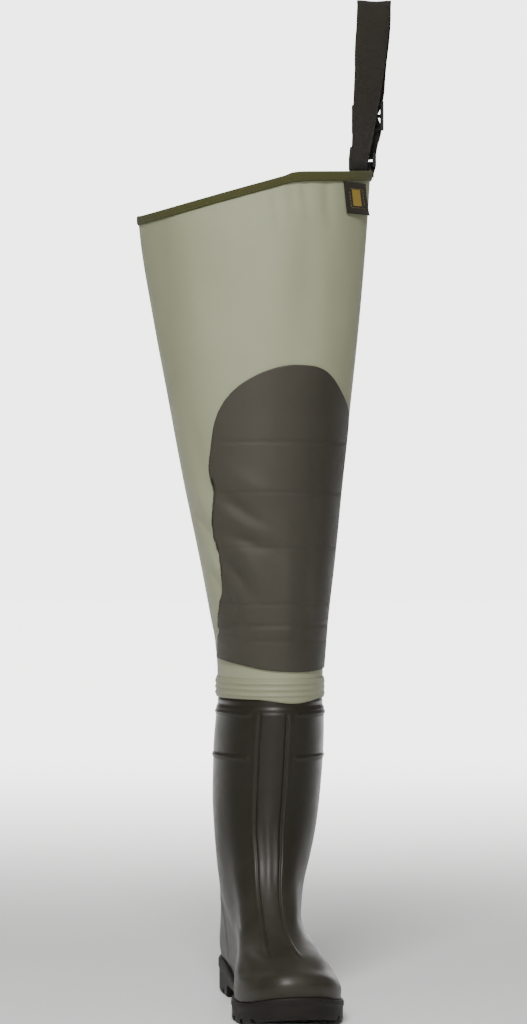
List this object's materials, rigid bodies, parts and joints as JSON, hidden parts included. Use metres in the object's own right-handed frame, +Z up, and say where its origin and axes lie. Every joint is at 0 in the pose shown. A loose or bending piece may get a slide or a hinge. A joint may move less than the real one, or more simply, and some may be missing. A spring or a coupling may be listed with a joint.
{
  "type": "thigh wader",
  "caption": "Left thigh wader: moulded PVC boot with a lugged sole, welded to a grey-green coated-fabric leg with a dark knee patch, a bound hem, a belt strap and its plastic slider",
  "frame": {"origin": "on the floor under the middle of the heel", "axes": "+Z up the leg, -Y to the toe, +X to the outer (little-toe) side"},
  "size_m": [0.2647, 0.303, 1.0455],
  "materials": {
    "outsole": "matte moulded PVC",
    "insole": "matte felt",
    "boot_upper": "satin moulded PVC",
    "leg": "coated woven cloth, satin",
    "joint_tape": "welded tape with pressed ribs, satin",
    "knee_patch": "coated cloth, satin",
    "hem_binding": "woven binding tape, matte",
    "strap": "woven webbing, matte",
    "strap_slider": "moulded plastic, satin",
    "strap_loop": "moulded plastic, satin",
    "loop_tab": "woven webbing, matte",
    "hem_tag": "moulded textile tag, matte"
  },
  "bodies": {
    "root": {"outsole": "outsole", "insole": "insole", "boot_upper": "boot_upper", "leg": "leg", "joint_tape": "joint_tape", "knee_patch": "knee_patch", "hem_binding": "hem_binding", "strap": "strap", "strap_slider": "strap_slider", "strap_loop": "strap_loop", "loop_tab": "loop_tab", "hem_tag": "hem_tag"}
  },
  "joints": []
}
